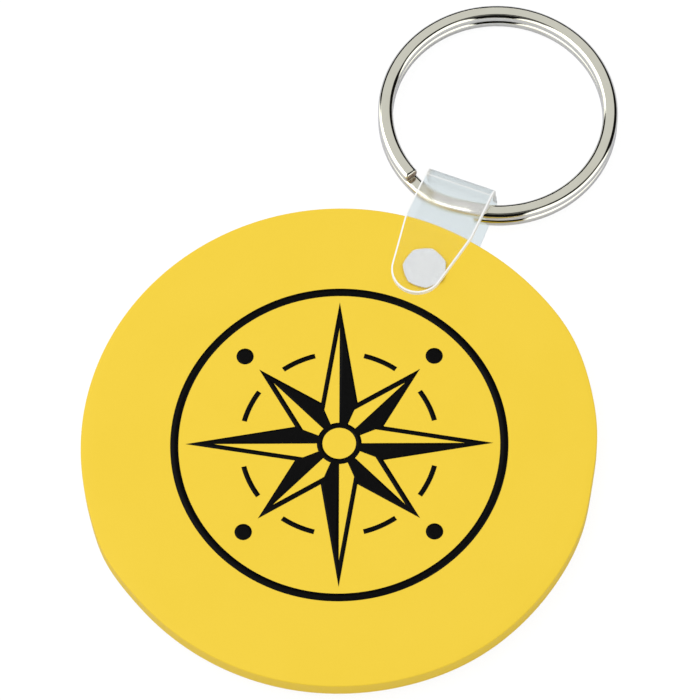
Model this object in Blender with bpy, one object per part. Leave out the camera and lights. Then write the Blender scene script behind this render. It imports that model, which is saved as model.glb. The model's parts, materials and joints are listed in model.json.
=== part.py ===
"""A round soft tag on a clear snap strap, with a split key ring.

Metres, +Z up. The origin is the middle of the tag's back face. +Y runs from there through the snap to the
ring, and the printed face looks up. The tag is a disc with one punched hole. The strap is one moulding that
is folded square round the ring, and its two ends snap together through that hole, where it swivels. Its snap
sits a little to the right of its own middle line. The ring is one spring wire, wound twice, which steps from its
lower turn to its upper turn inside the strap's fold, and it swings there.
"""

import math

import bmesh
import bpy
from mathutils import Matrix

MM = 0.001

# The tag
TAG_RADIUS = 25.4 * MM
TAG_THICKNESS = 2.3 * MM
TAG_EDGE_ROUND = 0.2 * MM
PRINT_TO_STRAP = 0.25 * MM
HOLE_TO_EDGE = 4.9 * MM

# The strap
STRAP_THICKNESS = 0.6 * MM
STRAP_WIDTH = 7.1 * MM
STRAP_END_RADIUS = 2.6 * MM
STRAP_END_PAST_SNAP = 0.6 * MM
STRAP_REACH = 10.4 * MM
STRAP_TAPER_END = 4.6 * MM
FOLD_BEND_RADIUS = 0.6 * MM
SNAP_ASIDE = 0.5 * MM
STRAP_EDGE_ROUND = 0.08 * MM
LEG_GAP = 0.3 * MM
LOOP_CLEARANCE = 0.1 * MM

# The snap: a socket under the strap's upper end, and a peg on its lower end
SOCKET_RADIUS = 2.05 * MM
SOCKET_IN_HOLE_GAP = 0.25 * MM
SOCKET_MOUTH_GAP = 0.3 * MM
SOCKET_ROOF = 0.3 * MM
PEG_NECK_RADIUS = 0.8 * MM
PEG_HEAD_RADIUS = 1.1 * MM
PEG_CLEARANCE = 0.12 * MM
SOCKET_LIP = 0.55 * MM

# The split ring
RING_RADIUS = 12.05 * MM
WIRE_WIDTH = 1.5 * MM
WIRE_HEIGHT = 1.08 * MM
WIRE_ROUND = 0.4 * MM
TURN_GAP = 0.04 * MM
CRANK_START = math.radians(-26)
CRANK_ANGLE = math.radians(38)
RING_TO_FOLD = 1.2 * MM
RING_OFF_TABLE = 0.06 * MM

# How finely round shapes are faceted
TAG_SEGMENTS = 128
SNAP_SEGMENTS = 40
END_SEGMENTS = 18
FOLD_BEND_STEPS = 6
SWELL_STATIONS = 8
TURN_STEP = math.radians(5)
CRANK_STATIONS = 14
CORNER_STEPS = 3
EDGE_STEPS = 2

# Places that follow from the sizes above
HOLE_RADIUS = SOCKET_RADIUS + SOCKET_IN_HOLE_GAP
HOLE_Y = TAG_RADIUS - HOLE_TO_EDGE
STRAP_TIP = STRAP_END_PAST_SNAP + STRAP_END_RADIUS
PRINT_FIELD_RADIUS = HOLE_Y - STRAP_TIP - PRINT_TO_STRAP
MIDDLE_Z = TAG_THICKNESS / 2
LEGS_APART = TAG_THICKNESS + 2 * LEG_GAP

RING_HEIGHT = 2 * WIRE_HEIGHT + TURN_GAP
RING_MEAN_RADIUS = RING_RADIUS - WIRE_WIDTH / 2
# The wire curves away across the strap's width; the hinge line halves that offset.
WIRE_BOW = RING_MEAN_RADIUS - math.sqrt(RING_MEAN_RADIUS ** 2 - (STRAP_WIDTH / 2) ** 2)
CORNER_OUT = WIRE_WIDTH / 2 - WIRE_ROUND + WIRE_BOW / 2
CORNER_UP = RING_HEIGHT / 2 - WIRE_ROUND
WIRE_SWEEP = math.hypot(CORNER_OUT, CORNER_UP) + WIRE_ROUND

# The fold is as high as the tag needs, or higher where the turning wire needs more.
LOOP_HALF = max(LEGS_APART / 2, WIRE_SWEEP + LOOP_CLEARANCE)
LOOP_SWELL = LOOP_HALF - LEGS_APART / 2
LOOP_CENTRE = STRAP_REACH - STRAP_THICKNESS - LOOP_HALF
FOLD_HALF = LOOP_HALF + STRAP_THICKNESS / 2 - FOLD_BEND_RADIUS
FOLD_START = STRAP_REACH - STRAP_THICKNESS / 2 - FOLD_BEND_RADIUS
HINGE_REACH = STRAP_REACH - STRAP_THICKNESS - RING_TO_FOLD - WIRE_WIDTH / 2 + WIRE_BOW / 2

# The ring's far end sinks until it is just above what the strap lies on.
TABLE_Z = MIDDLE_Z - LOOP_HALF - STRAP_THICKNESS
RING_DROP = MIDDLE_Z - RING_HEIGHT / 2 - TABLE_Z - RING_OFF_TABLE
RING_FAR_EDGE = 2 * RING_MEAN_RADIUS - WIRE_BOW / 2
RING_TILT = math.asin(RING_DROP / RING_FAR_EDGE)


def clear_scene():
    for obj in list(bpy.data.objects):
        bpy.data.objects.remove(obj, do_unlink=True)


def material(name, colour, roughness, metallic=0.0, transmission=0.0):
    made = bpy.data.materials.new(name)
    made.use_nodes = True
    shader = made.node_tree.nodes["Principled BSDF"]
    shader.inputs["Base Color"].default_value = (*colour, 1.0)
    shader.inputs["Roughness"].default_value = roughness
    shader.inputs["Metallic"].default_value = metallic
    shader.inputs["Transmission Weight"].default_value = transmission
    return made


def new_object(name, mesh, finish=None):
    obj = bpy.data.objects.new(name, mesh)
    bpy.context.scene.collection.objects.link(obj)
    if finish:
        mesh.materials.append(finish)
    return obj


def spin_profile(bm, profile, segments):
    """Turns a line of (radius, height) points once about +Z."""
    points = [bm.verts.new((radius, 0.0, height)) for radius, height in profile]
    edges = [bm.edges.new(pair) for pair in zip(points, points[1:])]
    bmesh.ops.spin(
        bm, geom=points + edges, cent=(0, 0, 0), axis=(0, 0, 1), angle=2 * math.pi, steps=segments, use_merge=True
    )


def closed_mesh(name, bm):
    """The mesh of a closed skin, with points that meet joined and its faces pointing out."""
    mesh = bpy.data.meshes.new(name)
    bmesh.ops.remove_doubles(bm, verts=bm.verts, dist=0.001 * MM)
    bmesh.ops.recalc_face_normals(bm, faces=bm.faces)
    bm.to_mesh(mesh)
    bm.free()
    return mesh


def turned(name, profile, segments):
    """A body of revolution about +Z from (radius, height) points that start and end on the axis."""
    bm = bmesh.new()
    spin_profile(bm, profile, segments)
    return closed_mesh(name, bm)


def skinned(name, loops):
    """A closed skin over equal loops of points, each joined to the next, with the first and last filled."""
    bm = bmesh.new()
    rings = [[bm.verts.new(point) for point in loop] for loop in loops]
    count = len(rings[0])
    for near, far in zip(rings, rings[1:]):
        for i in range(count):
            j = (i + 1) % count
            bm.faces.new((near[i], near[j], far[j], far[i]))
    bm.faces.new(rings[0])
    bm.faces.new(rings[-1])
    return closed_mesh(name, bm)


def arc(centre, radius, start, end, steps):
    """Points on an arc from the start angle to the end angle, both included."""
    angles = [start + (end - start) * i / steps for i in range(steps + 1)]
    return [(centre[0] + radius * math.cos(a), centre[1] + radius * math.sin(a)) for a in angles]


def rounded_rectangle(across, up, corner, steps):
    """A closed outline whose corner arcs are centred at plus and minus the two given half sizes."""
    points = []
    for quarter, (side, level) in enumerate([(1, 1), (-1, 1), (-1, -1), (1, -1)]):
        start = quarter * math.pi / 2
        points += arc((side * across, level * up), corner, start, start + math.pi / 2, steps)
    return points


def round_shading(mesh):
    mesh.shade_smooth()
    mesh.set_sharp_from_angle(angle=math.radians(35))


def boolean(target, other, operation):
    """Joins or cuts a hidden helper with the target, and keeps the helper beside it."""
    other.hide_render = True
    other.display_type = "WIRE"
    other.parent = target
    step = target.modifiers.new(other.name, "BOOLEAN")
    step.operation = operation
    step.solver = "EXACT"
    step.object = other


def circle(bm, radius, y, height, segments):
    """A level circle's edges about the axis at the given y."""
    place = Matrix.Translation((0.0, y, height))
    points = bmesh.ops.create_circle(bm, radius=radius, segments=segments, matrix=place)["verts"]
    return list({edge for point in points for edge in point.link_edges})


def add_tag_face(bm, height):
    """One flat face of the tag: the round print field, and the rest of the face up to the rim and the hole."""
    rim = circle(bm, TAG_RADIUS - TAG_EDGE_ROUND, 0.0, height, TAG_SEGMENTS)
    field = circle(bm, PRINT_FIELD_RADIUS, 0.0, height, TAG_SEGMENTS)
    hole = circle(bm, HOLE_RADIUS, HOLE_Y, height, SNAP_SEGMENTS)
    bmesh.ops.triangle_fill(bm, edges=rim + field + hole, use_beauty=False, normal=(0.0, 0.0, 1.0))
    bmesh.ops.edgenet_fill(bm, edges=field)
    return hole


def make_tag():
    """A flat disc with slightly rounded edges, and one hole for the snap."""
    bm = bmesh.new()
    hole_edges = add_tag_face(bm, 0.0) + add_tag_face(bm, TAG_THICKNESS)
    bmesh.ops.bridge_loops(bm, edges=hole_edges)
    middle = TAG_RADIUS - TAG_EDGE_ROUND
    profile = arc((middle, TAG_EDGE_ROUND), TAG_EDGE_ROUND, -math.pi / 2, 0.0, CORNER_STEPS)
    profile += arc((middle, TAG_THICKNESS - TAG_EDGE_ROUND), TAG_EDGE_ROUND, 0.0, math.pi / 2, CORNER_STEPS)
    spin_profile(bm, profile, TAG_SEGMENTS)
    yellow = material("soft_yellow_pvc", (0.91, 0.65, 0.065), 0.5)
    tag = new_object("tag_disc", closed_mesh("tag_disc", bm), yellow)
    round_shading(tag.data)
    return tag


def strap_taper():
    """The angle of the strap's sides, which leave its round end as tangents and reach the full width."""
    length = STRAP_TAPER_END + STRAP_END_PAST_SNAP
    corner = math.hypot(STRAP_WIDTH / 2, length)
    return math.acos(STRAP_END_RADIUS / corner) - math.atan2(length, STRAP_WIDTH / 2)


def strap_half_width(reach):
    """Half the strap's width at a distance past the snap: a round end, then the taper, then parallel."""
    taper = strap_taper()
    past_end = reach + STRAP_END_PAST_SNAP
    if past_end < -STRAP_END_RADIUS * math.sin(taper):
        return math.sqrt(max(STRAP_END_RADIUS ** 2 - past_end ** 2, 0.0))
    side = STRAP_END_RADIUS / math.cos(taper) + past_end * math.tan(taper)
    return min(side, STRAP_WIDTH / 2)


def strap_rise(reach):
    """How far a leg has left the tag at a distance past the snap, easing from flat to the loop's height."""
    start = STRAP_END_RADIUS
    share = min(max((reach - start) / (LOOP_CENTRE - start), 0.0), 1.0)
    return LOOP_SWELL * share * share * (3 - 2 * share)


def leg_reaches():
    """Stations along one leg, from the facet at its round tip to the loop's middle."""
    sweep = math.pi / 2 - strap_taper()
    tip_steps = END_SEGMENTS // 2
    turns = [(i + 0.5) * sweep / tip_steps for i in range(tip_steps)]
    stations = [-STRAP_END_PAST_SNAP - STRAP_END_RADIUS * math.cos(turn) for turn in turns]
    stations += [0.0, STRAP_END_RADIUS, STRAP_TAPER_END]
    length = LOOP_CENTRE - STRAP_TAPER_END
    stations += [STRAP_TAPER_END + length * (i + 1) / SWELL_STATIONS for i in range(SWELL_STATIONS)]
    return stations


def band_section(half_width):
    """The band's outline about its own middle, as (across, outward), with its corners just rounded."""
    across = half_width - STRAP_EDGE_ROUND
    out = STRAP_THICKNESS / 2 - STRAP_EDGE_ROUND
    return rounded_rectangle(across, out, STRAP_EDGE_ROUND, EDGE_STEPS)


def strap_path():
    """(reach, height, turn) along the band's middle surface, from its upper tip, round the fold, to its lower tip.

    The fold is a flat end wall between two tight bends, and the turn is how far the band has bent round by then.
    """
    leg_middle = (LEGS_APART + STRAP_THICKNESS) / 2
    upper = [(reach, leg_middle + strap_rise(reach), 0.0) for reach in leg_reaches()]
    for i in range(FOLD_BEND_STEPS + 1):
        turn = math.pi / 2 * i / FOLD_BEND_STEPS
        reach = FOLD_START + FOLD_BEND_RADIUS * math.sin(turn)
        upper.append((reach, FOLD_HALF + FOLD_BEND_RADIUS * math.cos(turn), turn))
    lower = [(reach, -height, math.pi - turn) for reach, height, turn in reversed(upper)]
    return upper + lower


def make_strap():
    """One band of clear plastic, folded round the ring, whose ends snap together through the tag's hole."""
    loops = []
    for reach, height, turn in strap_path():
        half = strap_half_width(reach)
        loop = []
        for across, out in band_section(half):
            place = (across - SNAP_ASIDE, reach + out * math.sin(turn), MIDDLE_Z + height + out * math.cos(turn))
            loop.append(place)
        loops.append(loop)

    clear = material("clear_plastic", (0.80, 0.86, 0.88), 0.12, transmission=0.9)
    strap = new_object("snap_strap", skinned("snap_strap", loops), clear)
    add_snap(strap)
    round_shading(strap.data)
    return strap


def add_snap(strap):
    """The socket hangs from the upper end into the tag's hole, and the peg on the lower end clicks into it."""
    upper_face = MIDDLE_Z + LEGS_APART / 2
    lower_face = MIDDLE_Z - LEGS_APART / 2
    bite = STRAP_THICKNESS / 2
    mouth = lower_face + SOCKET_MOUTH_GAP
    roof = upper_face - SOCKET_ROOF
    socket = [(0.0, mouth), (SOCKET_RADIUS, mouth), (SOCKET_RADIUS, upper_face + bite), (0.0, upper_face + bite)]

    lip_radius = PEG_NECK_RADIUS + PEG_CLEARANCE
    room_radius = PEG_HEAD_RADIUS + PEG_CLEARANCE
    lip_top = mouth + SOCKET_LIP
    lip_slope = room_radius - lip_radius
    below = mouth - SOCKET_MOUTH_GAP / 2
    room = [(0.0, below), (lip_radius, below), (lip_radius, lip_top)]
    room += [(room_radius, lip_top + lip_slope), (room_radius, roof), (0.0, roof)]

    head_low = lip_top + PEG_CLEARANCE
    head_full = head_low + PEG_HEAD_RADIUS - PEG_NECK_RADIUS
    tip = roof - PEG_CLEARANCE
    shoulder = tip - (PEG_HEAD_RADIUS - PEG_NECK_RADIUS)
    peg = [(0.0, lower_face - bite), (PEG_NECK_RADIUS, lower_face - bite), (PEG_NECK_RADIUS, head_low)]
    peg += [(PEG_HEAD_RADIUS, head_full), (PEG_HEAD_RADIUS, shoulder), (PEG_NECK_RADIUS, tip), (0.0, tip)]

    shapes = [("snap_socket", socket, "UNION"), ("snap_room", room, "DIFFERENCE"), ("snap_peg", peg, "UNION")]
    for name, profile, operation in shapes:
        helper = new_object(name, turned(name, profile, SNAP_SEGMENTS))
        boolean(strap, helper, operation)


def wire_section():
    """The wire's outline about its own middle, as (outward, upward): flat faces with rounded corners."""
    return rounded_rectangle(WIRE_WIDTH / 2 - WIRE_ROUND, WIRE_HEIGHT / 2 - WIRE_ROUND, WIRE_ROUND, CORNER_STEPS)


def wire_stations():
    """(angle, height) along the wire: the lower turn, the step inside the strap, then the upper turn.

    The angle is measured from the middle of the strap. The step starts just to the left of the strap, beside
    the upper turn's cut end, and ends under it, beside the lower turn's, so each turn covers the rest of the
    circle.
    """
    level = (WIRE_HEIGHT + TURN_GAP) / 2
    turn = 2 * math.pi - CRANK_ANGLE
    steps = round(turn / TURN_STEP)
    high_start = CRANK_START + CRANK_ANGLE
    low_start = high_start - 2 * math.pi
    stations = [(low_start + turn * i / steps, -level) for i in range(steps + 1)]
    for i in range(1, CRANK_STATIONS):
        share = i / CRANK_STATIONS
        angle = CRANK_START + CRANK_ANGLE * share
        stations.append((angle, level * (2 * share * share * (3 - 2 * share) - 1)))
    stations += [(high_start + turn * i / steps, level) for i in range(steps + 1)]
    return stations


def make_ring():
    """The split ring, about the line that it swings on inside the fold."""
    centre_y = RING_MEAN_RADIUS - WIRE_BOW / 2
    loops = []
    for angle, height in wire_stations():
        loop = []
        for outward, upward in wire_section():
            radius = RING_MEAN_RADIUS + outward
            loop.append((radius * math.sin(angle), centre_y - radius * math.cos(angle), height + upward))
        loops.append(loop)
    nickel = material("nickel_plate", (0.72, 0.70, 0.66), 0.18, metallic=1.0)
    ring = new_object("split_ring", skinned("split_ring", loops), nickel)
    round_shading(ring.data)
    return ring


clear_scene()
tag_disc = make_tag()
snap_strap = make_strap()
snap_strap.parent = tag_disc
snap_strap.location = (0.0, HOLE_Y, 0.0)
split_ring = make_ring()
split_ring.parent = snap_strap
split_ring.location = (-SNAP_ASIDE, HINGE_REACH, MIDDLE_Z)
split_ring.rotation_euler = (-RING_TILT, 0.0, 0.0)
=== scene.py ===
"""The looks of a round soft tag on a clear snap strap with a split key ring. Metres, +Z up."""

import json
import math

import bmesh
import bpy
import numpy as np
from mathutils import Matrix, Vector


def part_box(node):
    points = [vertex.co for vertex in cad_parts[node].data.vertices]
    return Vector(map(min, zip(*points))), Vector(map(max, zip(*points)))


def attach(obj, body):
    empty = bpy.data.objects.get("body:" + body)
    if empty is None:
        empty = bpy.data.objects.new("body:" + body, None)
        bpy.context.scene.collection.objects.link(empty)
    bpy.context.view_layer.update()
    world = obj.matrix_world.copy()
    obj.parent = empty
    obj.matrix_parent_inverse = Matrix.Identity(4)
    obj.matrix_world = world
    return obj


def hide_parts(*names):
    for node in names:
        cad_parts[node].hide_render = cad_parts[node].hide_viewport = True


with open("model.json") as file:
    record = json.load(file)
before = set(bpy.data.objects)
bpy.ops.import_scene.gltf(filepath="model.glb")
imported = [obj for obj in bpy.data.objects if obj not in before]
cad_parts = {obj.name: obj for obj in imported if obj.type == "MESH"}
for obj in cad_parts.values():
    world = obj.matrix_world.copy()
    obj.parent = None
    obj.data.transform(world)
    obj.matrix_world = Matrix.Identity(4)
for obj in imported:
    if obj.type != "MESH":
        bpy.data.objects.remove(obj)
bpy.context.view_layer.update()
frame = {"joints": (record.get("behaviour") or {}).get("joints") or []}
joints = {joint["name"]: Vector(joint["pos_m"]) for joint in frame["joints"]}

# The camera looks down on the tag from a long way off, turned a little about its own axis. The lens is given
# in pixels of a frame 700 wide, and the view was fitted to the tag's rim and the ring.
FRAME_WIDE = 700
FOCAL_PIXELS = 6500
CAMERA_TURN = math.radians(26.58)
CAMERA_RISE = math.radians(66.60)
CAMERA_ROLL = math.radians(-2.41)
CAMERA_DISTANCE = 0.6443
CAMERA_TARGET = Vector((-0.00360, 0.01042, 0.0))

camera_data = bpy.data.cameras.new("camera")
camera_data.lens = camera_data.sensor_width * FOCAL_PIXELS / FRAME_WIDE
camera = bpy.data.objects.new("camera", camera_data)
bpy.context.scene.collection.objects.link(camera)
bpy.context.scene.camera = camera
level_back = Vector((math.sin(CAMERA_TURN), -math.cos(CAMERA_TURN), 0.0))
back = level_back * math.cos(CAMERA_RISE) + Vector((0.0, 0.0, math.sin(CAMERA_RISE)))
right = Vector((math.cos(CAMERA_TURN), math.sin(CAMERA_TURN), 0.0))
up = back.cross(right)
rolled_right = right * math.cos(CAMERA_ROLL) + up * math.sin(CAMERA_ROLL)
rolled_up = up * math.cos(CAMERA_ROLL) - right * math.sin(CAMERA_ROLL)
camera_axes = Matrix((rolled_right, rolled_up, back)).transposed().to_4x4()
camera.matrix_world = Matrix.Translation(CAMERA_TARGET + back * CAMERA_DISTANCE) @ camera_axes


# The studio lights the object with an even pale fill. Only reflections see the rest: white tents on both
# sides, a grey roof, and a dark opening above the camera and a dark far wall, which give bright metal its
# black lines.
def degrees(*values):
    return [math.radians(value) for value in values]


TENT_WHITE = 1.6
ROOF_GREY = 0.725
WALL_BLACK = 0.008
SKYLIGHT_GREY = 0.30
FILL_LEVEL = 0.79
FILL_THROUGH_CLEAR = (0.80, 0.80, 0.91, 1.0)
OPENING = {"aside": (-0.24, 0.26, 0.06), "over": degrees(-22, 84, 2)}
ROOF_SLIT = {"aside": (-0.50, 0.50, 0.20), "over": degrees(-20, 11, 3)}
FAR_WALL = {"around": degrees(-52, 84, 6), "high": (-0.05, 0.68, 0.03)}
SIDE_SCREEN = {"around": degrees(28, 80, 4), "high": (-0.40, 0.87, 0.02)}
ROOF = {"aside": (-0.55, 0.55, 0.10), "over": degrees(-42, -14, 3)}
SKYLIGHT = {"aside": (-0.20, 0.20, 0.05), "over": degrees(-7, 1, 2)}


def linked(tree, kind, inputs=None, **settings):
    """A new node with its settings made, and its inputs given as values or as other nodes' outputs."""
    node = tree.nodes.new(kind)
    for name, value in settings.items():
        setattr(node, name, value)
    for name, value in (inputs or {}).items():
        if isinstance(value, bpy.types.NodeSocket):
            tree.links.new(value, node.inputs[name])
        else:
            node.inputs[name].default_value = value
    return node


def maths(tree, operation, first, second):
    return linked(tree, "ShaderNodeMath", {0: first, 1: second}, operation=operation).outputs[0]


def eased(tree, value, start, end, low=0.0, high=1.0):
    """The value eased from low at start to high at end, and held beyond them."""
    inputs = {"Value": value, "From Min": start, "From Max": end, "To Min": low, "To Max": high}
    return linked(tree, "ShaderNodeMapRange", inputs, interpolation_type="SMOOTHSTEP").outputs["Result"]


def window(tree, value, start, end, soft):
    """1 between start and end, falling smoothly to 0 over the soft margin outside them."""
    rise = eased(tree, value, start - soft, start)
    fall = eased(tree, value, end, end + soft, 1.0, 0.0)
    return maths(tree, "MULTIPLY", rise, fall)


def blended(tree, share, first, second):
    """A colour between two colours, by the share of the second. A Mix node's colours are sockets 6 and 7."""
    node = linked(tree, "ShaderNodeMix", data_type="RGBA")
    for socket, value in ((node.inputs["Factor"], share), (node.inputs[6], first), (node.inputs[7], second)):
        if isinstance(value, bpy.types.NodeSocket):
            tree.links.new(value, socket)
        else:
            socket.default_value = value
    return node.outputs[2]


def grey(level):
    return (level, level, level, 1.0)


world = bpy.data.worlds.new("studio")
world.use_nodes = True
bpy.context.scene.world = world
world.cycles.sampling_method = "NONE"
tree = world.node_tree
tree.nodes.clear()
towards = linked(tree, "ShaderNodeTexCoord").outputs["Generated"]
turn_back = {"Vector": towards, "Rotation": (0.0, 0.0, -CAMERA_TURN)}
faced = linked(tree, "ShaderNodeMapping", turn_back, vector_type="POINT").outputs["Vector"]
parts = linked(tree, "ShaderNodeSeparateXYZ", {"Vector": faced}).outputs
measures = {"aside": parts["X"], "high": parts["Z"]}
measures["over"] = maths(tree, "ARCTAN2", maths(tree, "MULTIPLY", parts["Y"], -1.0), parts["Z"])
measures["around"] = maths(tree, "ARCTAN2", parts["X"], parts["Y"])


def patch(ranges):
    """1 in a patch of the world and 0 outside it: the product of a window in each of two measures.

    Each range is a start, an end and a softness. Aside and high are parts of a direction of length 1, to the
    camera's right and up. Over is the angle from straight up towards the camera, around the one from ahead.
    """
    first, second = [window(tree, measures[name], *limits) for name, limits in ranges.items()]
    return maths(tree, "MULTIPLY", first, second)


darkness = patch(OPENING)
for dark_place in (ROOF_SLIT, FAR_WALL, SIDE_SCREEN):
    darkness = maths(tree, "MAXIMUM", darkness, patch(dark_place))
tent = blended(tree, patch(ROOF), grey(TENT_WHITE), grey(ROOF_GREY))
dark = blended(tree, patch(SKYLIGHT), grey(WALL_BLACK), grey(SKYLIGHT_GREY))
reflected = blended(tree, darkness, tent, dark)
rays = linked(tree, "ShaderNodeLightPath").outputs
fill = blended(tree, rays["Is Transmission Ray"], grey(FILL_LEVEL), FILL_THROUGH_CLEAR)
fill = blended(tree, rays["Is Camera Ray"], fill, grey(1.0))
mirrored = maths(tree, "SUBTRACT", rays["Is Glossy Ray"], rays["Is Transmission Ray"])
mirrored = maths(tree, "MAXIMUM", mirrored, 0.0)
background = linked(tree, "ShaderNodeBackground", {"Color": blended(tree, mirrored, fill, reflected)})
linked(tree, "ShaderNodeOutputWorld", {"Surface": background.outputs[0]})


# The sweep lies just under the strap's lower leg. The camera sees the white world through it under a thin
# veil that takes the shadows, so a ring that swings below it still shows. Seen through clear plastic it is a
# pale blue grey.
FLOOR_GAP = 0.00004
FLOOR_HALF = 3.0
PAPER_GREY = 0.78
PAPER_MIRRORED = (0.70, 0.71, 0.81, 1.0)
PAPER_THROUGH_CLEAR = (0.777, 0.847, 0.880, 1.0)
PAPER_CLEAR = 0.90
PAPER_VEIL = 0.16

floor_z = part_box("snap_strap")[0][2] - FLOOR_GAP
floor_signs = ((-1, -1), (1, -1), (1, 1), (-1, 1))
floor_corners = [(x * FLOOR_HALF, y * FLOOR_HALF, floor_z) for x, y in floor_signs]
floor_mesh = bpy.data.meshes.new("sweep")
floor_mesh.from_pydata(floor_corners, [], [(0, 1, 2, 3)])
floor = bpy.data.objects.new("sweep", floor_mesh)
bpy.context.scene.collection.objects.link(floor)
sweep = bpy.data.materials.new("sweep")
sweep.use_nodes = True
tree = sweep.node_tree
tree.nodes.clear()
rays = linked(tree, "ShaderNodeLightPath").outputs
shown = maths(tree, "MAXIMUM", rays["Is Camera Ray"], rays["Is Transmission Ray"])
paper_colour = blended(tree, rays["Is Glossy Ray"], grey(PAPER_GREY), PAPER_MIRRORED)
paper = linked(tree, "ShaderNodeBsdfDiffuse", {"Color": paper_colour})
see_through = linked(tree, "ShaderNodeBsdfTransparent", {"Color": grey(PAPER_CLEAR)})
veil = linked(tree, "ShaderNodeBsdfDiffuse", {"Color": grey(PAPER_VEIL)})
veiled = linked(tree, "ShaderNodeAddShader", {0: see_through.outputs[0], 1: veil.outputs[0]})
tinted = linked(tree, "ShaderNodeEmission", {"Color": PAPER_THROUGH_CLEAR})
inputs = {0: rays["Is Transmission Ray"], 1: veiled.outputs[0], 2: tinted.outputs[0]}
bright = linked(tree, "ShaderNodeMixShader", inputs)
mixed = linked(tree, "ShaderNodeMixShader", {0: shown, 1: paper.outputs[0], 2: bright.outputs[0]})
linked(tree, "ShaderNodeOutputMaterial", {"Surface": mixed.outputs[0]})
floor_mesh.materials.append(sweep)


# One broad soft box stands high on the picture's upper left, a little beyond the object. It leaves the near
# side of the tag's rim in soft shade.
LAMP_SIZE = 0.6
LAMP_DISTANCE = 0.9
LAMP_WATTS = 2.35
LAMP_LEFT = 0.55
LAMP_BEYOND = 0.25

lamp_data = bpy.data.lights.new("soft_box", "AREA")
lamp_data.size = LAMP_SIZE
lamp_data.energy = LAMP_WATTS
lamp = bpy.data.objects.new("soft_box", lamp_data)
bpy.context.scene.collection.objects.link(lamp)
lamp_way = (-right * LAMP_LEFT - level_back * LAMP_BEYOND + Vector((0.0, 0.0, 1.0))).normalized()
lamp.location = lamp_way * LAMP_DISTANCE
lamp.rotation_euler = lamp_way.to_track_quat("Z", "Y").to_euler()


# The tag is a disc die-cut from soft PVC sheet, with a punched hole for the snap. Its cut rim wanders a
# little from a true circle, its top edge is crisp, and its lower edge is drawn in by the cutter.
RIM_WANDER = [
    (15.0, -0.30, 9.0),
    (-34.0, 0.16, 16.0),
    (-129.0, 0.24, 8.0),
    (51.0, 0.24, 11.0),
    (82.0, -0.10, 12.0),
]
MILLIMETRE = 0.001
TOP_EDGE = 0.00012
LOW_EDGE = 0.00030
SHEET_WAVE = 0.00004
WAVES_ACROSS = 140.0
WAVES_ALONG = 110.0
WAVES_SLANTED = 210.0
SLANTED_SHARE = 0.4
START_ACROSS = 0.6
START_ALONG = 1.9
HOLE_RADIUS = 0.00204
HOLE_EDGE = 0.00006
CLOUD_SCALE = 160.0
GRAIN_SCALE = 5200.0
GRAIN_SHARE = 0.05
PIT_SCALE = 190.0
PIT_SHARE = 0.3
PIT_EDGE = (0.012, 0.030)
PITTED_CLOUDS = (0.56, 0.60)
SHEET_YELLOWS = ((0.912, 0.645, 0.045, 1.0), (0.920, 0.652, 0.049, 1.0))
GRAIN_YELLOW = (0.82, 0.54, 0.035, 1.0)
PIT_BROWN = (0.50, 0.30, 0.02, 1.0)
SHEET_ROUGHNESS = (0.42, 0.52)

tag_low, tag_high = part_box("tag_disc")
tag_radius = (tag_high[0] - tag_low[0]) / 2
tag_top = tag_high[2]
snap_x, snap_y = joints["strap_swivel"][0], joints["strap_swivel"][1]


def quads(rows, columns, close_rows=False, close_columns=False):
    """(rows, columns) of the four corners of each cell of a grid, as two arrays of four columns.

    A closed side joins its last line of points to its first, and the numbers there run on past the end.
    """
    row = np.arange(rows if close_rows else rows - 1)
    column = np.arange(columns if close_columns else columns - 1)
    row, column = [side.ravel() for side in np.meshgrid(row, column, indexing="ij")]
    return np.stack([row, row, row + 1, row + 1], 1), np.stack([column, column + 1, column + 1, column], 1)


def surface(name, points, close_rows=False, close_columns=False, caps=False, chosen=None):
    """A mesh over a grid of points, one quad for each cell, or for the chosen cells.

    The grid is an array of rows by columns by 3. Caps fill the first and last row of a grid whose columns
    close, and are its last two faces. UV runs from 0 to 1 along the columns and along the rows.
    """
    rows, columns = points.shape[:2]
    row, column = quads(rows, columns, close_rows, close_columns)
    if chosen is not None:
        row, column = row[chosen.ravel()], column[chosen.ravel()]
    faces = ((row % rows) * columns + column % columns).tolist()
    across = (column / (columns if close_columns else columns - 1)).ravel()
    along = (row / (rows if close_rows else rows - 1)).ravel()
    if caps:
        faces.append(list(range(columns))[::-1])
        faces.append([(rows - 1) * columns + i for i in range(columns)])
        across = np.concatenate([across, np.full(2 * columns, 0.5)])
        along = np.concatenate([along, np.zeros(columns), np.ones(columns)])
    mesh = bpy.data.meshes.new(name)
    mesh.from_pydata(points.reshape(-1, 3).tolist(), [], faces)
    uv = mesh.uv_layers.new(name="UVMap")
    uv.data.foreach_set("uv", np.stack([across, along], 1).astype(np.float32).ravel())
    mesh.shade_smooth()
    return mesh


def piece(mesh, body, slot, *finishes):
    """An object at the origin, named as its mesh, that rides on the body. The slot argument is not used."""
    made = bpy.data.objects.new(mesh.name, mesh)
    bpy.context.scene.collection.objects.link(made)
    for finish in finishes:
        mesh.materials.append(finish)
    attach(made, body)
    return made


def finish_of(name, **constants):
    """(material, its tree, its Principled shader), with the shader's named sockets set."""
    made = bpy.data.materials.new(name)
    made.use_nodes = True
    shader = made.node_tree.nodes["Principled BSDF"]
    for socket, value in constants.items():
        shader.inputs[socket.replace("_", " ")].default_value = value
    return made, made.node_tree, shader


def noise(tree, where, scale, detail=2.0, roughness=0.5):
    inputs = {"Vector": where, "Scale": scale, "Detail": detail, "Roughness": roughness}
    return linked(tree, "ShaderNodeTexNoise", inputs).outputs["Fac"]


def bumped(tree, shader, height, distance, strength):
    node = linked(tree, "ShaderNodeBump", {"Height": height, "Distance": distance, "Strength": strength})
    tree.links.new(node.outputs[0], shader.inputs["Normal"])


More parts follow.
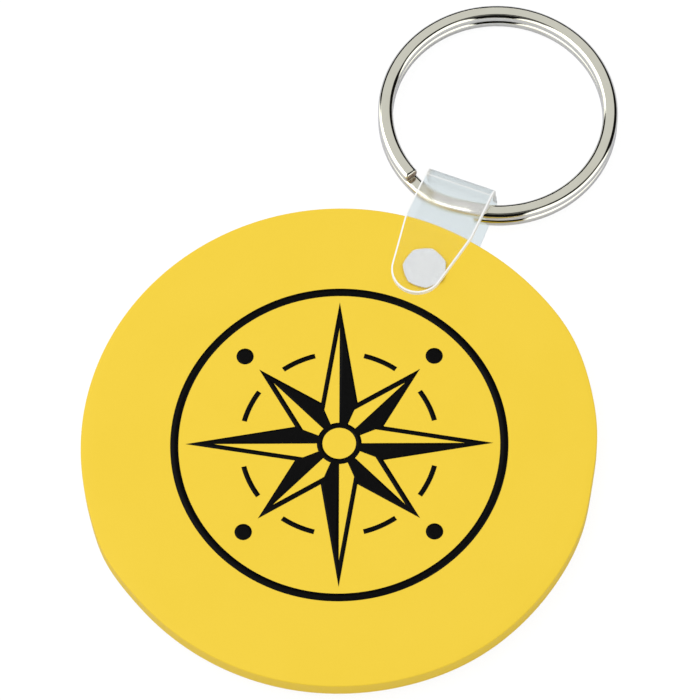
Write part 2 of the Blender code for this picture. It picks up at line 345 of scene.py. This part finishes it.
def wander(angle):
    """How far the cut rim lies outside the true circle: bell curves about a few places round it.

    Each place is an angle in degrees, a height in millimetres and a spread in degrees.
    """
    out = np.zeros_like(angle)
    for place, height, spread in RIM_WANDER:
        away = (np.degrees(angle) - place + 180.0) % 360.0 - 180.0
        out += height * MILLIMETRE * np.exp(-((away / spread) ** 2))
    return out


def sheet_rise(x, y):
    """How far the sheet's face lies off flat: the product of two slow sine waves, and a slanted one."""
    crossed = np.sin(WAVES_ACROSS * x + START_ACROSS) * np.sin(WAVES_ALONG * y + START_ALONG)
    return SHEET_WAVE * (crossed + SLANTED_SHARE * np.sin(WAVES_SLANTED * (x - y)))


def bend(centre, radius, start, end, steps):
    """Points on an arc in a flat plane, from the start angle to the end angle in degrees."""
    turn = np.radians(np.linspace(start, end, steps + 1))
    return np.stack([centre[0] + radius * np.cos(turn), centre[1] + radius * np.sin(turn)], 1)


def tag_grid(columns=720, face_rows=26, wall_rows=6, low_steps=6, edge_steps=4):
    """The disc's skin as a closed loop of rows, each running round the disc.

    A point is (share, out, z): it lies the share of the way from the hole's edge to the rim, along the line
    that joins the two, and then further out by a length. The loop runs out over the under face, up the rim,
    in over the top face and down the hole.
    """
    angle = np.linspace(0.0, 2 * np.pi, columns, endpoint=False)
    rim_radius = tag_radius + wander(angle)
    rim = np.stack([rim_radius * np.cos(angle), rim_radius * np.sin(angle)], 1)
    hole = np.array([snap_x, snap_y])
    ray = rim - hole
    ray /= np.linalg.norm(ray, axis=1, keepdims=True)
    lip = hole + HOLE_RADIUS * ray
    outward = np.stack([np.cos(angle), np.sin(angle)], 1)

    share = np.linspace(0.0, 1.0, face_rows)
    under = np.stack([share, -LOW_EDGE * share, 0 * share], 1)
    low_bend = bend((-LOW_EDGE, LOW_EDGE), LOW_EDGE, -90, 0, low_steps)[1:]
    top_bend = bend((-TOP_EDGE, tag_top - TOP_EDGE), TOP_EDGE, 0, 90, edge_steps)
    wall_z = np.linspace(LOW_EDGE, tag_top - TOP_EDGE, wall_rows)[1:-1]
    side = np.concatenate([low_bend, np.stack([0 * wall_z, wall_z], 1), top_bend])
    side = np.column_stack([np.ones(len(side)), side])
    back_in = share[::-1][1:]
    top = np.stack([back_in, -TOP_EDGE * back_in, np.full_like(back_in, tag_top)], 1)
    hole_top = bend((HOLE_EDGE, tag_top - HOLE_EDGE), HOLE_EDGE, 90, 180, edge_steps)[1:]
    hole_low = bend((HOLE_EDGE, HOLE_EDGE), HOLE_EDGE, 180, 270, edge_steps)[:-1]
    bore = np.concatenate([hole_top, hole_low])
    bore = np.column_stack([np.zeros(len(bore)), bore - (HOLE_EDGE, 0.0)])
    loop = np.concatenate([under, side, top, bore])

    share, out, z = loop[:, 0, None], loop[:, 1, None], loop[:, 2, None]
    aim = outward[None] * share[..., None] + ray[None] * (1 - share[..., None])
    flat = lip[None] * (1 - share[..., None]) + rim[None] * share[..., None] + aim * out[..., None]
    z = z + sheet_rise(flat[..., 0], flat[..., 1]) * (z / tag_top) * (share > 0) * (share < 1)
    return np.concatenate([flat, z[..., None]], 2)


soft_pvc, tree, shader = finish_of("soft_pvc", Specular_IOR_Level=0.18)
where = linked(tree, "ShaderNodeTexCoord").outputs["Object"]
clouds = noise(tree, where, CLOUD_SCALE, 3.0)
grain = noise(tree, where, GRAIN_SCALE, 2.0, 0.6)
colour = blended(tree, eased(tree, clouds, 0.3, 0.7), *SHEET_YELLOWS)
colour = blended(tree, eased(tree, grain, 0.25, 0.75, 0.0, GRAIN_SHARE), colour, GRAIN_YELLOW)
pit_inputs = {"Vector": where, "Scale": PIT_SCALE, "Randomness": 1.0}
pits = linked(tree, "ShaderNodeTexVoronoi", pit_inputs).outputs["Distance"]
pitted = maths(tree, "MULTIPLY", eased(tree, pits, *PIT_EDGE, 1.0, 0.0), eased(tree, clouds, *PITTED_CLOUDS))
colour = blended(tree, maths(tree, "MULTIPLY", pitted, PIT_SHARE), colour, PIT_BROWN)
tree.links.new(colour, shader.inputs["Base Color"])
tree.links.new(eased(tree, clouds, 0.2, 0.8, *SHEET_ROUGHNESS), shader.inputs["Roughness"])
height = maths(tree, "SUBTRACT", maths(tree, "MULTIPLY", grain, 0.25), pitted)
bumped(tree, shader, height, 0.00002, 0.6)

tag_mesh = surface("tag_sheet", tag_grid(), close_rows=True, close_columns=True)
tag = piece(tag_mesh, "tag", "tag_pvc", soft_pvc)
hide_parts("tag_disc")


# The print is one pass of black screen ink: an eight-point wind star in a plain ring, with a broken inner
# circle and four dots. It lies on the sheet as a film, and each half of a point is solid or an outline.
INK_THICKNESS = 0.000030
INK_SINK = 0.000012
POINTS = 8
LONG_POINT = 0.0151
SHORT_POINT = 0.0112
VALLEY = 0.0047
OUTLINE_SHARE = 0.82
HUB = (0.00165, 0.0022)
OUTER_RING = (0.0158, 0.0166)
INNER_CIRCLE = (0.0094, 0.0099)
GAPS_BESIDE_POINTS = degrees(14.5, 10.0)
DOTS = 4
DOT_PLACE = 0.0132
DOT_RADIUS = 0.00085
DOT_TURN = math.radians(45)
PRINT_TURN = CAMERA_TURN + CAMERA_ROLL
WEAVE_SCALE = 2600.0
INK_BLACKS = (grey(0.0012), grey(0.004))
INK_ROUGHNESS = (0.36, 0.50)


def merged(mesh, apart=0.000001):
    """The mesh with the points that lie in one place joined, and faces that have no area left out."""
    bm = bmesh.new()
    bm.from_mesh(mesh)
    bmesh.ops.remove_doubles(bm, verts=bm.verts, dist=apart)
    bmesh.ops.dissolve_degenerate(bm, edges=bm.edges, dist=apart)
    bm.to_mesh(mesh)
    bm.free()
    return mesh


def point_edge(angle):
    """The star's outline: straight lines between a tip every eighth turn and a valley half way between tips.

    On the line from a tip at radius a, at angle 0, to a valley at radius b, at angle w, the radius at angle
    t is a b sin w / (a sin t + b sin (w - t)).
    """
    eighth = 2 * np.pi / POINTS
    turn = (angle + eighth / 2) % eighth - eighth / 2
    number = np.round((angle - turn) / eighth).astype(int)
    tip = np.where(number % 2 == 0, LONG_POINT, SHORT_POINT)
    half = eighth / 2
    side = np.abs(turn)
    return tip * VALLEY * np.sin(half) / (tip * np.sin(side) + VALLEY * np.sin(half - side))


def polar(radius, angle, centre=(0.0, 0.0)):
    """Points on the sheet's face, from radii by angles, turned with the print."""
    x = centre[0] + radius * np.cos(angle)
    y = centre[1] + radius * np.sin(angle)
    turned_x = x * math.cos(PRINT_TURN) - y * math.sin(PRINT_TURN)
    turned_y = x * math.sin(PRINT_TURN) + y * math.cos(PRINT_TURN)
    return np.stack([turned_x, turned_y, tag_top - INK_SINK + sheet_rise(turned_x, turned_y)], -1)


def star_mesh(name, samples=10, hub_rows=3, solid_rows=9, outline_rows=3):
    """The star: rows from the hub to the outline's inner side, and on to its outer side, by angles.

    Each point is two wedges. Every second wedge is left open between the hub and the outline.
    """
    columns = 2 * POINTS * samples
    angle = np.linspace(0.0, 2 * np.pi, columns, endpoint=False)
    edge = point_edge(angle)
    hub = HUB[0] + (HUB[1] - HUB[0]) * np.linspace(0, 1, hub_rows)[:-1, None] + 0 * edge
    share = np.linspace(0, 1, solid_rows)[:-1, None]
    solid = HUB[1] + (edge * OUTLINE_SHARE - HUB[1]) * share
    outline = edge * (OUTLINE_SHARE + (1 - OUTLINE_SHARE) * np.linspace(0, 1, outline_rows)[:, None])
    radius = np.concatenate([hub, solid, outline])
    wedge = np.arange(columns) // samples
    inked = np.ones((len(radius) - 1, columns), bool)
    inked[len(hub) : len(hub) + len(solid)] = wedge % 2 == 1
    return surface(name, polar(radius, angle[None])[::-1], close_columns=True, chosen=inked[::-1])


def band_mesh(name, inner, outer, start, end, samples, rows=3):
    """A band of ink between two radii, over part of a turn or the whole of it."""
    whole = end - start > 2 * np.pi - 0.001
    angle = np.linspace(start, end, samples, endpoint=not whole)
    radius = np.linspace(outer, inner, rows)[:, None] + 0 * angle
    return surface(name, polar(radius, angle[None]), close_columns=whole)


def dot_mesh(name, place, samples=40, rows=4):
    """A round dot of ink, as rings about its middle."""
    angle = np.linspace(0.0, 2 * np.pi, samples, endpoint=False)
    radius = DOT_RADIUS * np.linspace(1.0, 0.0, rows)[:, None] + 0 * angle
    centre = (DOT_PLACE * math.cos(place), DOT_PLACE * math.sin(place))
    return merged(surface(name, polar(radius, angle[None], centre), close_columns=True))


screen_ink, tree, shader = finish_of("screen_ink", Specular_IOR_Level=0.06)
where = linked(tree, "ShaderNodeTexCoord").outputs["Object"]
weave = noise(tree, where, WEAVE_SCALE, 3.0)
tree.links.new(blended(tree, weave, *INK_BLACKS), shader.inputs["Base Color"])
tree.links.new(eased(tree, weave, 0.2, 0.8, *INK_ROUGHNESS), shader.inputs["Roughness"])
bumped(tree, shader, weave, 0.00001, 0.3)

ink_meshes = [star_mesh("print_star"), band_mesh("print_ring", *OUTER_RING, 0.0, 2 * math.pi, samples=240)]
point_turn = 2 * math.pi / POINTS
for number in range(POINTS):
    start = number * point_turn + GAPS_BESIDE_POINTS[number % 2]
    end = (number + 1) * point_turn - GAPS_BESIDE_POINTS[(number + 1) % 2]
    ink_meshes.append(band_mesh(f"print_arc_{number + 1}", *INNER_CIRCLE, start, end, samples=24))
for number in range(DOTS):
    ink_meshes.append(dot_mesh(f"print_dot_{number + 1}", number * 2 * math.pi / DOTS + DOT_TURN))
for mesh in ink_meshes:
    film = piece(mesh, "tag", "print_ink", screen_ink).modifiers.new("film", "SOLIDIFY")
    film.thickness = INK_THICKNESS
    film.offset = 1.0


# The strap is one band of clear flexible vinyl, die-cut to a round-ended taper and folded square round the
# ring. Its upper leg's cut edge is frosted white, and that white strip is also a painted highlight, standing
# in for the glint and inner reflection along the edge. The crease inside the upper bend is painted white as
# a highlight of the bend. It is folded a little askew, so its lower leg shows beside the upper one.
BAND_THICKNESS = 0.0006
END_RADIUS = 0.0026
END_PAST_SNAP = 0.0006
TAPER_END = 0.0046
BEND_RADIUS = 0.0006
FACE_SHARE = 0.84
RIM_STRIP = 0.00017
STRIP_SUPPORTS = (2.0, 1.1)
# Where in the upper bend the painted highlight lies, as shares of the bend.
CREASE_HIGHLIGHT = (0.30, 0.72)
EDGE_ROUND = 0.00006
FOLD_LEAN = 0.06
SKEW_SIZE = 0.0008
SKEW_START = 0.25
RIPPLE_SCALE = 900.0
EDGE_WHITE_SCALE = 3000.0
VINYL_CLEAR = (0.960, 0.963, 0.955, 1.0)
VINYL_ROUGHNESS = (0.30, 0.42)
# The edge whites are partly frosted vinyl and partly painted highlight for the light the cut edge catches.
FROST_AND_HIGHLIGHT_WHITES = ((0.93, 0.94, 0.93, 1.0), (1.0, 1.0, 0.99, 1.0))

band_low, band_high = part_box("snap_strap")
band_middle_x = (band_low[0] + band_high[0]) / 2
band_half = (band_high[0] - band_low[0]) / 2
band_middle_z = (band_low[2] + band_high[2]) / 2
wall_half = (band_high[2] - band_low[2] - BAND_THICKNESS) / 2 - BEND_RADIUS
bend_reach = band_high[1] - snap_y - BAND_THICKNESS / 2 - BEND_RADIUS
bend_length = math.pi / 2 * BEND_RADIUS
snap_along = wall_half + bend_length + bend_reach
end_along = snap_along + END_PAST_SNAP


def band_outline(end_steps=28, taper_steps=16, leg_steps=24, bend_steps=12, wall_steps=8):
    """(across, along) round the flat band, up its right side and over its upper end to its left side.

    Along is 0 in the middle of the fold. Each side runs straight from there to the taper, which meets the
    round end as a tangent. The points lie close together where the band bends.
    """
    taper_length = TAPER_END + END_PAST_SNAP
    corner = math.hypot(band_half, taper_length)
    taper = math.acos(END_RADIUS / corner) - math.atan2(taper_length, band_half)
    wall = np.linspace(0.0, wall_half, wall_steps)
    bending = np.linspace(wall_half, wall_half + bend_length, bend_steps)[1:]
    leg = np.linspace(wall_half + bend_length, snap_along - TAPER_END, leg_steps)[1:]
    straight = np.concatenate([wall, bending, leg])
    straight = np.stack([np.full_like(straight, band_half), straight], 1)
    turn = np.linspace(taper, np.pi / 2, end_steps)
    arc = np.stack([END_RADIUS * np.cos(turn), end_along + END_RADIUS * np.sin(turn)], 1)
    slope = np.linspace(straight[-1], arc[0], taper_steps)[1:-1]
    quarter = np.concatenate([straight, slope, arc])
    left_quarter = quarter[::-1][1:] * (-1.0, 1.0)
    upper = np.concatenate([quarter, left_quarter])
    lower = upper[::-1][1:-1] * (1.0, -1.0)
    return np.concatenate([upper, lower])


def folded(across, along, out):
    """A point of the flat band bent round the fold: leg, quarter bend, end wall, quarter bend, leg.

    Along is measured from the middle of the fold, positive on the upper leg, and out is the height above the
    band's middle surface. The fold leans, so a point lies further out the further it is to the right. The
    lower leg swings to the right and back by (1 - t t) (c + t), with t from 0 at the fold to 1 at the snap.
    """
    side = np.sign(along)
    along = np.abs(along)
    turn = np.clip((along - wall_half) / BEND_RADIUS, 0.0, np.pi / 2)
    past = np.maximum(along - wall_half - bend_length, 0.0)
    reach = bend_reach + (BEND_RADIUS + out) * np.cos(turn) - past
    height = np.minimum(along, wall_half) + (BEND_RADIUS + out) * np.sin(turn)
    share = np.clip(past / bend_reach, 0.0, 1.0)
    reach = reach + FOLD_LEAN * across * (1.0 - share) ** 2
    skew = SKEW_SIZE * (1.0 - share * share) * (SKEW_START + share)
    drop = 0.5 - 0.5 * side * np.minimum(height / (wall_half + BEND_RADIUS), 1.0)
    skew = np.where(side > 0, 0.0, skew) * np.where(past > 0, 1.0, drop)
    return np.stack([band_middle_x + across + skew, snap_y + reach, band_middle_z + side * height], -1)


def band_grid(outline, face_rows=10, edge_steps=4, wall_rows=4):
    """(points, the strip's first row, the under face's first row) of the band's skin.

    Its rows run from its spine out over the upper face, round the cut edge and back below to the spine, and
    each runs round the outline. A row lies a share of the way from the spine to the outline.
    """
    spine = np.stack([0 * outline[:, 0], np.clip(outline[:, 1], -end_along, end_along)], 1)
    reach = outline - spine
    length = np.linalg.norm(reach, axis=1, keepdims=True)
    half = BAND_THICKNESS / 2
    inset = [RIM_STRIP * support for support in STRIP_SUPPORTS] + [RIM_STRIP, EDGE_ROUND]
    turned = bend((EDGE_ROUND, half - EDGE_ROUND), EDGE_ROUND, 90, 180, edge_steps)[1:]
    rows = [(spine + reach * share, half) for share in np.linspace(0.0, FACE_SHARE, face_rows)]
    rows += [(outline - reach / length * back_off, half) for back_off in inset]
    rows += [(outline - reach / length * back_off, out) for back_off, out in turned]
    rows += [(outline, out) for out in np.linspace(half - EDGE_ROUND, 0.0, wall_rows)[1:]]
    upper = np.array([np.column_stack([flat, np.full(len(flat), out)]) for flat, out in rows])
    lower = upper[::-1][1:] * (1.0, 1.0, -1.0)
    grid = np.concatenate([upper, lower])
    strip_row = face_rows + len(STRIP_SUPPORTS)
    under_row = len(grid) - 1 - (strip_row + 1)
    return folded(grid[..., 0], grid[..., 1], grid[..., 2]), strip_row, under_row


def let_light_through(tree, shader):
    """Shadow and diffuse rays pass: a Mix Shader puts a Transparent shader in for them."""
    rays = linked(tree, "ShaderNodeLightPath").outputs
    clear = linked(tree, "ShaderNodeBsdfTransparent", {"Color": grey(1.0)})
    lighting = maths(tree, "MAXIMUM", rays["Is Shadow Ray"], rays["Is Diffuse Ray"])
    inputs = {0: lighting, 1: shader.outputs[0], 2: clear.outputs[0]}
    mixed = linked(tree, "ShaderNodeMixShader", inputs)
    tree.links.new(mixed.outputs[0], tree.nodes["Material Output"].inputs["Surface"])


vinyl_look = {"Transmission_Weight": 1.0, "IOR": 1.2, "Base_Color": VINYL_CLEAR}
clear_vinyl, tree, shader = finish_of("clear_vinyl", **vinyl_look)
where = linked(tree, "ShaderNodeTexCoord").outputs["Object"]
ripple = noise(tree, where, RIPPLE_SCALE)
tree.links.new(eased(tree, ripple, 0.3, 0.7, *VINYL_ROUGHNESS), shader.inputs["Roughness"])
bumped(tree, shader, ripple, 0.00002, 0.25)
let_light_through(tree, shader)

# This white finish is partly the frosted cut edge and partly painted highlight: the edge's glint and inner
# reflection are painted into its colour.
frost_and_highlight_edge, tree, shader = finish_of("frosted_edge_and_painted_highlight", Roughness=0.6, Specular_IOR_Level=0.0)
where = linked(tree, "ShaderNodeTexCoord").outputs["Object"]
frost_and_highlight = noise(tree, where, EDGE_WHITE_SCALE)
tree.links.new(blended(tree, frost_and_highlight, *FROST_AND_HIGHLIGHT_WHITES), shader.inputs["Base Color"])
bumped(tree, shader, frost_and_highlight, 0.00002, 0.3)
let_light_through(tree, shader)

outline = band_outline()
band_points, strip_row, under_row = band_grid(outline)
strap_mesh = surface("strap_band", band_points, close_columns=True)
cell_row, cell_column = np.divmod(np.arange((len(band_points) - 1) * len(outline)), len(outline))
cell_along = (outline[:, 1] + np.roll(outline[:, 1], -1)) / 2
bent_share = (cell_along - wall_half) / bend_length
in_crease_highlight = (bent_share > CREASE_HIGHLIGHT[0]) & (bent_share < CREASE_HIGHLIGHT[1])
# The upper leg's rim strip and cut edge get the white finish: frosted vinyl and painted highlight together.
frosted_and_highlit = (cell_row >= strip_row) & (cell_row < under_row) & (cell_along > 0.0)[cell_column]
# The crease inside the upper bend gets the white finish as a painted highlight of the bend.
frosted_and_highlit |= (cell_row >= under_row) & in_crease_highlight[cell_column]
strap_mesh.polygons.foreach_set("material_index", frosted_and_highlit.astype(np.int32))
strap = piece(merged(strap_mesh), "strap", "clear_strap", clear_vinyl, frost_and_highlight_edge)
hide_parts("snap_strap")


# The snap is moulded with the band: a frosted socket on a thin flange, which hangs from the upper end
# through the tag's hole, and a round-headed peg on the lower end that clicks into it.
SOCKET_RADIUS = 0.0019
SOCKET_WALL_EDGE = 0.00012
SOCKET_MOUTH_GAP = 0.0003
SOCKET_ROOF = 0.0003
FLANGE_RADIUS = 0.00219
FLANGE_THICKNESS = 0.00016
BORE_RADIUS = 0.00092
BORE_LIP = 0.00055
BORE_SLOPE = 0.0003
ROOM_RADIUS = 0.00122
PEG_NECK = 0.0008
PEG_HEAD = 0.0011
PEG_CLEARANCE = 0.00012
SNAP_SINK = 0.00001
SNAP_SIDES = 7
SNAP_TURN = math.radians(10)
SNAP_FLATNESS = 0.55
SHARP_ANGLE = math.radians(35)
MOTTLE_SCALE = 1500.0
MOTTLE_GREYS = ((0.66, 0.68, 0.69, 1.0), (0.85, 0.865, 0.865, 1.0))

leg_top_under = band_high[2] - BAND_THICKNESS
leg_low_over = band_low[2] + BAND_THICKNESS
mouth_z = leg_low_over + SOCKET_MOUTH_GAP
roof_z = leg_top_under - SOCKET_ROOF


def turned_piece(name, profile, flatness=0.0, steps=98):
    """A profile of (radius, height) points turned about the snap's axis, closed at both ends on the axis.

    Flatness pulls its circles towards a polygon inside them: at angle t from the middle of a side, a polygon
    with a half side of w has the radius cos w / cos t.
    """
    profile = np.array(profile)
    angle = np.linspace(0.0, 2 * np.pi, steps, endpoint=False)
    half_side = np.pi / SNAP_SIDES
    from_middle = (angle + SNAP_TURN) % (2 * half_side) - half_side
    pulled = 1.0 - flatness + flatness * np.cos(half_side) / np.cos(from_middle)
    x = snap_x + profile[:, 0, None] * pulled * np.cos(angle)
    y = snap_y + profile[:, 0, None] * pulled * np.sin(angle)
    z = profile[:, 1, None] + 0 * angle
    mesh = merged(surface(name, np.stack([x, y, z], -1), close_columns=True))
    mesh.set_sharp_from_angle(angle=SHARP_ANGLE)
    return mesh


frosted, tree, shader = finish_of("frosted_snap", Specular_IOR_Level=0.2, Roughness=0.6)
where = linked(tree, "ShaderNodeTexCoord").outputs["Object"]
mottle = noise(tree, where, MOTTLE_SCALE, 3.0, 0.6)
tree.links.new(blended(tree, mottle, *MOTTLE_GREYS), shader.inputs["Base Color"])
bumped(tree, shader, mottle, 0.00002, 0.4)

socket_top = leg_top_under - SNAP_SINK
flange_low = socket_top - FLANGE_THICKNESS
mouth_centre = (SOCKET_RADIUS - SOCKET_WALL_EDGE, mouth_z + SOCKET_WALL_EDGE)
socket_profile = [(0.0, roof_z), (ROOM_RADIUS, roof_z), (ROOM_RADIUS, mouth_z + BORE_LIP + BORE_SLOPE)]
socket_profile += [(BORE_RADIUS, mouth_z + BORE_LIP), (BORE_RADIUS, mouth_z)]
socket_profile += [tuple(point) for point in bend(mouth_centre, SOCKET_WALL_EDGE, -90, 0, 4)]
socket_profile += [(SOCKET_RADIUS, flange_low), (FLANGE_RADIUS, flange_low), (FLANGE_RADIUS, socket_top)]
socket_profile += [(0.0, socket_top)]
piece(turned_piece("snap_socket", socket_profile, SNAP_FLATNESS), "strap", "clear_strap", frosted)

peg_foot = leg_low_over + SNAP_SINK
head_low = mouth_z + BORE_LIP + PEG_CLEARANCE
head_top = roof_z - PEG_CLEARANCE
head_flare = PEG_HEAD - PEG_NECK
peg_profile = [(0.0, peg_foot), (PEG_NECK, peg_foot), (PEG_NECK, head_low)]
peg_profile += [(PEG_HEAD, head_low + head_flare), (PEG_HEAD, head_top - head_flare)]
peg_profile += [tuple(point) for point in bend((PEG_NECK, head_top - head_flare), head_flare, 0, 90, 6)[1:]]
peg_profile += [(0.0, head_top)]
piece(turned_piece("snap_peg", peg_profile), "strap", "clear_strap", frosted)


# The ring is one nickel-plated spring wire, flattened on its faces and wound twice. It steps from its lower
# to its upper turn at the strap, and both its ends are sheared off square beside the step.
WIRE_WIDTH = 0.0015
WIRE_HEIGHT = 0.00108
WIRE_ROUND = 0.00040
TURN_GAP = 0.00004
STEP_START = math.radians(-26)
STEP_TURN = math.radians(38)
RISE_START = math.radians(-18)
END_BEVEL = 0.00010
END_SHRINK = 0.12
RING_CLEARANCE = 0.00006
STREAKS = (40.0, 24.0, 1.0)
STREAK_SCALE = 3.0
STAIN_SCALE = 420.0
TEAR_SCALE = 4200.0
NICKEL_GREYS = ((0.80, 0.792, 0.685, 1.0), (0.775, 0.76, 0.65, 1.0))
NICKEL_ROUGHNESS = (0.03, 0.08)
SHEARED_BROWNS = ((0.16, 0.10, 0.06, 1.0), (0.62, 0.52, 0.42, 1.0))

ring_low, ring_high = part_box("split_ring")
ring_radius = (ring_high[0] - ring_low[0]) / 2
hinge = joints["ring_swing"]
mean_radius = ring_radius - WIRE_WIDTH / 2
wire_bow = mean_radius - math.sqrt(mean_radius**2 - band_half**2)
ring_height = 2 * WIRE_HEIGHT + TURN_GAP
ring_drop = hinge[2] - ring_height / 2 - band_low[2] - RING_CLEARANCE
ring_tilt = -math.asin(ring_drop / (2 * mean_radius - wire_bow / 2))


def wire_path(turn_stations=430, step_stations=70):
    """(angle, height) along the wire: lower turn, step, upper turn.

    The step rises by 3 s s - 2 s s s, with s from 0 where the rise starts to 1 at the step's end.
    """
    level = (WIRE_HEIGHT + TURN_GAP) / 2
    high_start = STEP_START + STEP_TURN
    lower = np.linspace(high_start - 2 * np.pi, STEP_START, turn_stations)
    step = np.linspace(STEP_START, high_start, step_stations)[1:-1]
    share = np.clip((step - RISE_START) / (high_start - RISE_START), 0.0, 1.0)
    upper = np.linspace(high_start, STEP_START + 2 * np.pi, turn_stations)
    angle = np.concatenate([lower, step, upper])
    rise = level * (2 * share * share * (3 - 2 * share) - 1)
    return angle, np.concatenate([np.full_like(lower, -level), rise, np.full_like(upper, level)])


def wire_outline(corner_steps=8):
    """(outward, upward) round the wire: flat faces joined by quarter arcs."""
    across = WIRE_WIDTH / 2 - WIRE_ROUND
    rise = WIRE_HEIGHT / 2 - WIRE_ROUND
    corners = [(across, rise, 0), (-across, rise, 90), (-across, -rise, 180), (across, -rise, 270)]
    arcs = [bend((x, z), WIRE_ROUND, start, start + 90, corner_steps) for x, z, start in corners]
    return np.concatenate(arcs)


def ring_grid():
    """The wire's outline carried along its path, shrunk over the last tenth of a millimetre at each cut end.

    The ring then tilts about its hinge, so that its far side sinks to the table.
    """
    angle, height = wire_path()
    travelled = np.abs(angle - angle[0]) * mean_radius
    left = travelled[-1] - travelled
    nearest_end = np.minimum(travelled, left)
    shrink = 1.0 - END_SHRINK * np.clip(1.0 - nearest_end / END_BEVEL, 0.0, 1.0)
    outline = wire_outline()[::-1]
    outward = outline[None, :, 0] * shrink[:, None]
    upward = outline[None, :, 1] * shrink[:, None] + height[:, None]
    radius = mean_radius + outward
    x = radius * np.sin(angle)[:, None]
    y = mean_radius - wire_bow / 2 - radius * np.cos(angle)[:, None]
    tilted_y = y * math.cos(ring_tilt) - upward * math.sin(ring_tilt)
    tilted_z = y * math.sin(ring_tilt) + upward * math.cos(ring_tilt)
    return np.stack([hinge[0] + x, hinge[1] + tilted_y, hinge[2] + tilted_z], -1)


nickel, tree, shader = finish_of("nickel_plate", Metallic=1.0)
uv = linked(tree, "ShaderNodeTexCoord").outputs["UV"]
drawn = linked(tree, "ShaderNodeMapping", {"Vector": uv, "Scale": STREAKS}).outputs["Vector"]
streaks = noise(tree, drawn, STREAK_SCALE, 3.0, 0.6)
where = linked(tree, "ShaderNodeTexCoord").outputs["Object"]
stain = noise(tree, where, STAIN_SCALE, 3.0)
tree.links.new(blended(tree, eased(tree, stain, 0.45, 0.75), *NICKEL_GREYS), shader.inputs["Base Color"])
tree.links.new(eased(tree, streaks, 0.2, 0.8, *NICKEL_ROUGHNESS), shader.inputs["Roughness"])
bumped(tree, shader, streaks, 0.000004, 0.25)

sheared, tree, shader = finish_of("sheared_steel", Metallic=0.7, Roughness=0.55)
where = linked(tree, "ShaderNodeTexCoord").outputs["Object"]
tear = noise(tree, where, TEAR_SCALE, 3.0, 0.6)
tree.links.new(blended(tree, tear, *SHEARED_BROWNS), shader.inputs["Base Color"])
bumped(tree, shader, tear, 0.00006, 0.8)

ring_mesh = surface("ring_wire", ring_grid(), close_columns=True, caps=True)
for cut_end in ring_mesh.polygons[-2:]:
    cut_end.material_index = 1
ring = piece(ring_mesh, "ring", "nickel_plate", nickel, sheared)
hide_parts("split_ring")

bpy.context.scene.view_settings.view_transform = "Standard"
